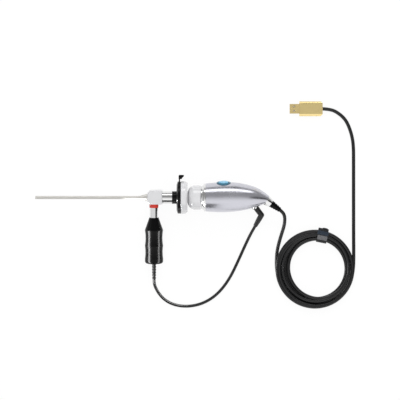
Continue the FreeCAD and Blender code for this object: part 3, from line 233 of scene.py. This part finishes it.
def finish(name, colour, rough, metal=0.0, grain=0.0, grain_scale=900, stretch=(1, 1, 1),
           vary=0.06, rough_vary=0.08, coat=0.0, coat_rough=0.05, sheen=0.0, alpha=1.0,
           specular=0.5, weave=0.0):
    """A material whose colour and roughness drift a little over the surface.

    grain is the strength of its bump, and weave adds threads to it.
    """
    material = bpy.data.materials.new(name)
    material.use_nodes = True
    nodes, links = material.node_tree.nodes, material.node_tree.links
    shader = nodes["Principled BSDF"]
    settings = {"Metallic": metal, "Coat Weight": coat, "Coat Roughness": coat_rough,
                "Sheen Weight": sheen, "Specular IOR Level": specular, "Alpha": alpha}
    for socket, value in settings.items():
        shader.inputs[socket].default_value = value
    where = nodes.new("ShaderNodeTexCoord")
    place = nodes.new("ShaderNodeMapping")
    place.inputs["Scale"].default_value = stretch
    links.new(where.outputs["Object"], place.inputs["Vector"])
    drift = nodes.new("ShaderNodeTexNoise")
    drift.inputs["Scale"].default_value = DRIFT_SCALE
    drift.inputs["Detail"].default_value = 4
    links.new(place.outputs[0], drift.inputs["Vector"])
    shades = nodes.new("ShaderNodeValToRGB")
    stops = shades.color_ramp.elements
    stops[0].position, stops[1].position = 0.3, 0.7
    stops[0].color = tuple(c * (1 - vary) for c in colour[:3]) + (1,)
    stops[1].color = tuple(min(1, c * (1 + vary)) for c in colour[:3]) + (1,)
    links.new(drift.outputs["Fac"], shades.inputs[0])
    links.new(shades.outputs[0], shader.inputs["Base Color"])
    worn = nodes.new("ShaderNodeMapRange")
    worn.inputs["To Min"].default_value = max(LEAST_ROUGHNESS, rough - rough_vary)
    worn.inputs["To Max"].default_value = min(1, rough + rough_vary)
    links.new(drift.outputs["Fac"], worn.inputs["Value"])
    links.new(worn.outputs[0], shader.inputs["Roughness"])
    if grain:
        fine = nodes.new("ShaderNodeTexNoise")
        fine.inputs["Scale"].default_value = grain_scale
        fine.inputs["Detail"].default_value = 3
        links.new(place.outputs[0], fine.inputs["Vector"])
        height = fine.outputs["Fac"]
        if weave:
            thread = nodes.new("ShaderNodeTexWave")
            thread.inputs["Scale"].default_value = weave
            thread.inputs["Distortion"].default_value = 1.5
            links.new(place.outputs[0], thread.inputs["Vector"])
            join = nodes.new("ShaderNodeMath")
            join.operation = "ADD"
            links.new(fine.outputs["Fac"], join.inputs[0])
            links.new(thread.outputs["Fac"], join.inputs[1])
            height = join.outputs[0]
        bump = nodes.new("ShaderNodeBump")
        bump.inputs["Strength"].default_value = grain
        bump.inputs["Distance"].default_value = BUMP_DEPTH
        links.new(height, bump.inputs["Height"])
        links.new(bump.outputs[0], shader.inputs["Normal"])
    return material


# Each slot of the record: its colour, its roughness, and what else finish takes.
LOOKS = {
    "shaft_steel": ((210, 208, 203), 0.36,
                    dict(metal=0.7, grain=0.05, grain_scale=500, stretch=(0.05, 1, 1))),
    "plated_head": ((222, 222, 224), 0.3, dict(metal=0.45, vary=0.02)),
    "bright_metal": ((232, 232, 232), 0.1, dict(metal=1, grain=0.02, grain_scale=1500, vary=0.02)),
    "red_mark": ((196, 42, 24), 0.4, dict(grain=0.05)),
    "glass": ((225, 238, 245), 0.06, dict(alpha=0.4)),
    "infrared_glass": ((150, 205, 215), 0.06, dict(alpha=0.6)),
    "fibre": ((236, 232, 214), 0.35, dict(grain=0.2, grain_scale=3000)),
    "black_plastic": ((6, 6, 7), 0.26, dict(grain=0.05, grain_scale=1600, specular=0.2)),
    "bare_aluminium": ((190, 190, 194), 0.36,
                       dict(metal=1, grain=0.08, grain_scale=700, stretch=(1, 8, 1))),
    "board_white": ((226, 226, 222), 0.5, {}),
    "led_yellow": ((230, 208, 92), 0.4, {}),
    "black_rubber": ((5, 5, 6), 0.27,
                     dict(grain=0.03, grain_scale=1300, rough_vary=0.03, specular=0.14)),
    "cord_black": ((24, 24, 25), 0.3, dict(grain=0.06, grain_scale=1800, specular=0.42)),
    "board_green": ((28, 96, 62), 0.42, dict(grain=0.1, grain_scale=600)),
    "spring_steel": ((180, 180, 182), 0.3, dict(metal=1, grain=0.05)),
    "white_enamel": ((216, 216, 218), 0.22, dict(grain=0.02, coat=0.8, coat_rough=0.1, vary=0.01)),
    "silver_paint": ((204, 204, 212), 0.24, dict(metal=0.92, coat=0.2, coat_rough=0.08, vary=0.02)),
    "teal_bezel": ((30, 104, 130), 0.22, dict(metal=0.1, grain=0.03, grain_scale=1200, coat=0.5)),
    "blue_button": ((120, 192, 226), 0.28, dict(grain=0.03, grain_scale=1200, coat=0.5)),
    "switch_plastic": ((60, 60, 62), 0.5, {}),
    "sensor_dark": ((44, 44, 52), 0.3, {}),
    "tie_fabric": ((26, 27, 29), 0.8, dict(grain=0.5, grain_scale=2600, sheen=0.2, weave=900)),
    "gold_shell": ((250, 226, 160), 0.2, dict(metal=0.85, grain=0.03, grain_scale=1400, vary=0.03)),
    "tongue_plastic": ((232, 230, 224), 0.45, {}),
}


def build_materials():
    return {slot: finish(slot, linear(*colour), rough, **rest)
            for slot, (colour, rough, rest) in LOOKS.items()}


def dress_nodes(finishes):
    """Every carried-over solid gets its own slot's finish."""
    for row in frame["record"]["subparts"]:
        node = frame["nodes"][row["node"]]
        for holder in node.material_slots:
            holder.material = finishes[row["material_slot"]]


# ---------------------------------------------------------------- cords

# From the light source's strain relief to the plug in the handpiece's side.
LIGHT_ROUTE = [
    (-33.4, -101.36, 8.98), (-33.4, -107.32, 8.31), (-31.6, -113.0, 6.4), (-27.2, -120.8, 4.6),
    (-20.9, -127.7, 3.1), (-12.0, -133.2, 2.1), (0.0, -136.3, 1.9), (14.0, -136.2, 1.9),
    (28.0, -132.5, 1.9), (41.0, -125.0, 1.9), (52.5, -113.8, 1.9), (62.8, -98.5, 1.9),
    (71.8, -79.5, 1.9), (80.2, -60.8, 2.0), (86.4, -47.6, 3.9), (90.32, -40.48, 5.67),
    (93.11, -35.49, 7.48),
]
LIGHT_LEAD_R = 1.9
# From the handpiece's boot to the coil, and from the coil to the USB plug.
USB_HEAD_ROUTE = [
    (123.37, -15.26, 14.85), (128.6, -19.2, 13.4), (130.2, -26.4, 11.3), (129.3, -35.5, 8.6),
    (126.4, -44.8, 5.7), (123.3, -55.3, 3.4), (120.7, -66.3, 2.3), (119.8, -77.5, 2.2),
]
USB_TAIL_ROUTE = [
    (216.5, -72.0, 5.6), (216.5, -50.0, 3.0), (216.5, -20.0, 2.2), (216.5, 20.0, 2.2),
    (216.5, 50.0, 2.2), (216.4, 62.0, 2.2), (215.3, 73.6, 2.2), (212.0, 85.8, 2.2),
    (206.8, 97.2, 2.4), (198.6, 105.0, 3.4), (188.4, 110.6, 4.5), (177.4, 111.1, 4.5),
]
USB_LEAD_R = 2.2
# The coil's turns: the radius and height of the cord's middle in each, from the first to the last.
TURNS = [(48.0, 2.2), (43.6, 2.2), (39.4, 2.2), (36.3, 6.2), (42.0, 6.9), (46.0, 6.8), (48.2, 6.8)]
TURNS_WOUND = 6.5
TURN_POINTS = 16
# Where in each turn the cord begins to cross to the next one, and how long it takes, in turns.
CROSSINGS = [0.05, 0.3, 0.3, 0.05, 0.58, 0.05, 0.0]
CROSSING_LENGTH = 0.4
# The smallest and largest turns don't share one middle.
INNER_R, OUTER_R = 36.3, 48.0
INNER_CENTRE = (170.3, -87.4)
OUTER_CENTRE = (167.9, -89.6)
# How far a turn may stray from its circle where the strap doesn't hold it.
LOOSENESS = 0.12
LOOSE_SEED = 7
# The strap: the middle that its angle is seen from, and how far it lifts the turns.
TIE_CENTRE = (168.9, -88.7)
TIE_ANGLE = math.radians(78.5)
TIE_LIFT = 0.9


def smooth(t):
    """An even step from 0 to 1, held at both ends."""
    t = min(max(t, 0), 1)
    return t * t * (3 - 2 * t)


def between(a, b, share):
    return a * (1 - share) + b * share


def coil_points():
    """The turns, from the coil's left side to its right, each with its own size and waver."""
    draw = random.Random(LOOSE_SEED)
    loose = [(draw.uniform(-LOOSENESS, LOOSENESS), draw.uniform(0, math.tau)) for _ in TURNS]
    points = []
    for i in range(int(TURNS_WOUND * TURN_POINTS) + 1):
        turn = i / TURN_POINTS
        k = min(int(turn), len(TURNS) - 1)
        here, following = TURNS[k], TURNS[min(k + 1, len(TURNS) - 1)]
        move = smooth((turn - k - CROSSINGS[k]) / CROSSING_LENGTH)
        radius = between(here[0], following[0], move)
        height = between(here[1], following[1], move)
        share = (radius - INNER_R) / (OUTER_R - INNER_R)
        cx = between(INNER_CENTRE[0], OUTER_CENTRE[0], share)
        cy = between(INNER_CENTRE[1], OUTER_CENTRE[1], share)
        angle = math.pi + turn * math.tau
        swing, phase = loose[k]
        free = 0.5 - 0.5 * math.cos(angle - TIE_ANGLE)
        radius += swing * math.sin(2 * angle + phase) * free
        height += TIE_LIFT * (1 - free) ** 4
        points.append((cx + radius * math.cos(angle), cy + radius * math.sin(angle), height))
    return points


def nurbs(name, points, radius):
    """A round cord along one smooth line that has these points as its controls."""
    data = bpy.data.curves.new(name, "CURVE")
    data.dimensions = "3D"
    data.bevel_depth = radius
    data.bevel_resolution = 5
    data.resolution_u = 6
    spline = data.splines.new("NURBS")
    spline.points.add(len(points) - 1)
    for point, place in zip(spline.points, points):
        point.co = (*at(*place), 1)
    spline.order_u = 3
    spline.use_endpoint_u = True
    return add(name, data)


def shade_smooth(mesh):
    for face in mesh.polygons:
        face.use_smooth = True


def mesh_of(thing):
    """The mesh that an object's curve makes."""
    bpy.context.view_layer.update()
    depsgraph = bpy.context.evaluated_depsgraph_get()
    return bpy.data.meshes.new_from_object(thing.evaluated_get(depsgraph))


def build_usb_lead(finishes):
    lead = nurbs("usb_lead", USB_HEAD_ROUTE + coil_points() + USB_TAIL_ROUTE, USB_LEAD_R * MM)
    lead.data.materials.append(finishes["cord_black"])
    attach(lead, "camera")
    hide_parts("usb_cord_head", "usb_coil", "usb_cord_tail")
    return lead


# ---------------------------------------------------------------- the strap round the coil

CORNER_STEPS = 6
SHARP_ANGLE = math.radians(40)
# Each piece of the strap: its section across the bundle, as rounded takes it; the places along the
# bundle with how much the section shrinks at each; and its colour.
STRAP = {
    "strap_band": ((32.8, 51.0, 0.1, 11.0, 3.4),
                   [(-6.3, 0.985), (-6.1, 1), (6.1, 1), (6.3, 0.985)], (26, 27, 29)),
    "strap_patch": ((36.2, 41.9, 10.7, 11.6, 0.3),
                    [(-6.3, 0.9), (-6.1, 1), (5.9, 1), (6.1, 0.9)], (102, 102, 104)),
    "strap_end": ((42.5, 47.6, 10.6, 11.9, 0.5),
                  [(-7.0, 0.8), (-6.6, 1), (6.8, 1), (7.1, 0.8)], (30, 42, 56)),
    "strap_fold": ((46.6, 52.0, 3.0, 12.2, 2.4),
                   [(-5.7, 0.5), (-5.3, 0.72), (-4.3, 0.92), (-2.8, 1), (0.2, 1), (1.4, 0.85),
                    (2.1, 0.55)], (14, 15, 18)),
}
# The opening through the band, which makes it a loop.
BAND_HOLE = (33.5, 50.3, 0.8, 10.3, 2.7)


def rounded(r0, r1, z0, z1, corner):
    """A rounded rectangle across the bundle, as (distance from the coil's middle, height) pairs."""
    points = []
    for i, (r, z) in enumerate(((r1 - corner, z1 - corner), (r0 + corner, z1 - corner),
                                (r0 + corner, z0 + corner), (r1 - corner, z0 + corner))):
        for k in range(CORNER_STEPS + 1):
            a = (i + k / CORNER_STEPS) * math.pi / 2
            points.append((r + corner * math.cos(a), z + corner * math.sin(a)))
    return points


def across(r, side, z):
    """A point of the strap: r outward from the coil's middle, side along the bundle, z up."""
    x = TIE_CENTRE[0] + r * math.cos(TIE_ANGLE) - side * math.sin(TIE_ANGLE)
    y = TIE_CENTRE[1] + r * math.sin(TIE_ANGLE) + side * math.cos(TIE_ANGLE)
    return at(x, y, z)


def swept(name, outer, stations, inner=None):
    """A closed outline swept along the bundle through its stations; inner makes it a hollow loop."""
    shape = bmesh.new()
    middle_r = sum(r for r, z in outer) / len(outer)
    middle_z = sum(z for r, z in outer) / len(outer)

    def row(points, side, shrink):
        return [shape.verts.new(across(middle_r + (r - middle_r) * shrink, side,
                                       middle_z + (z - middle_z) * shrink))
                for r, z in points]

    def skin(first, second):
        for i in range(len(first)):
            j = (i + 1) % len(first)
            shape.faces.new((first[i], first[j], second[j], second[i]))

    rows = [row(outer, side, shrink) for side, shrink in stations]
    for first, second in zip(rows, rows[1:]):
        skin(first, second)
    if inner:
        holes = [row(inner, side, 1) for side in (stations[0][0], stations[-1][0])]
        skin(holes[1], holes[0])
        skin(holes[0], rows[0])
        skin(rows[-1], holes[1])
    else:
        shape.faces.new(rows[0][::-1])
        shape.faces.new(rows[-1])
    bmesh.ops.recalc_face_normals(shape, faces=shape.faces)
    mesh = bpy.data.meshes.new(name)
    shape.to_mesh(mesh)
    shape.free()
    shade_smooth(mesh)
    mesh.set_sharp_from_angle(angle=SHARP_ANGLE)
    return add(name, mesh)


def build_strap():
    """The hook-and-loop strap: its loop, the end pressed down on it, and the fold outside."""
    pieces = []
    for name, (section, stations, tone) in STRAP.items():
        inner = rounded(*BAND_HOLE) if name == "strap_band" else None
        piece = swept(name, rounded(*section), stations, inner)
        piece.data.materials.append(finish(name + "_cloth", linear(*tone), 0.75, grain=0.5,
                                           grain_scale=2600, sheen=0.15, weave=900))
        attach(piece, "camera")
        pieces.append(piece)
    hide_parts("cord_tie")
    return pieces


# ---------------------------------------------------------------- the light lead and the leaf spring, as meshes of their own

def build_light_lead(finishes):
    """The lead as a mesh tube, and the points that it follows."""
    route = nurbs("light_route", LIGHT_ROUTE, 0)
    line = mesh_of(route)
    path = [tuple(v.co) for v in line.vertices]
    route.data.bevel_depth = LIGHT_LEAD_R * MM
    lead = add("light_lead", mesh_of(route))
    bpy.data.objects.remove(route)
    shade_smooth(lead.data)
    lead.data.materials.clear()
    lead.data.materials.append(finishes["cord_black"])
    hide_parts("light_cord")
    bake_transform(lead)
    return lead, path


def build_leaf_spring():
    """The jaw's leaf spring as its own piece, copied from its solid."""
    node = frame["nodes"]["jaw_spring"]
    mesh = node.data.copy()
    mesh.transform(node.matrix_world)
    leaf = add("leaf_spring", mesh)
    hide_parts("jaw_spring")
    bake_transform(leaf)


# ---------------------------------------------------------------- the scene

build_camera()
build_world()
build_floor()
bpy.context.scene.view_settings.view_transform = "Standard"

# Two soft boxes light the object. Reflections show only the lower one.
middle = at(30, -20, 10)
area_light("soft_top", middle + Vector((0, 1.0, 1.8)), middle, (2.2, 2.2), 1.45, glossy=False)
area_light("top_strip", middle + Vector((0, 1.1, 0.72)), middle, (1.8, 0.42), 2.3)
# Three narrow lamps beside the light source and its post show in reflections only, as streaks.
area_light("left_streak", at(-68, -84, 34), at(-33.4, -84, 13), (0.086, 0.013), 50, diffuse=False)
area_light("right_streak", at(3, -82, 33), at(-33.4, -82, 13), (0.074, 0.011), 24, diffuse=False)
area_light("post_streak", at(-60, -21, 36), at(-33.4, -21, 20), (0.024, 0.012), 0.5, diffuse=False)
# Three boards far to the front, right and back give polished metal its dark bands.
dark_board("front_board", at(-120, -450, 170), at(-120, 0, 20), (0.26, 0.36), 0.08)
dark_board("right_board", at(520, -60, 260), at(-33.4, -60, 20), (0.2, 0.56), 0.02)
dark_board("back_board", at(165, 560, 120), at(165, 111, 5), (0.07, 0.26), 0.04)

finishes = build_materials()
dress_nodes(finishes)
usb_lead = build_usb_lead(finishes)
light_lead, light_path = build_light_lead(finishes)
build_leaf_spring()
plug_pieces = [frame["nodes"][name]
               for name in ("usb_plug_housing", "usb_shell", "usb_tongue", "usb_contacts")]
plug_pieces += build_strap()
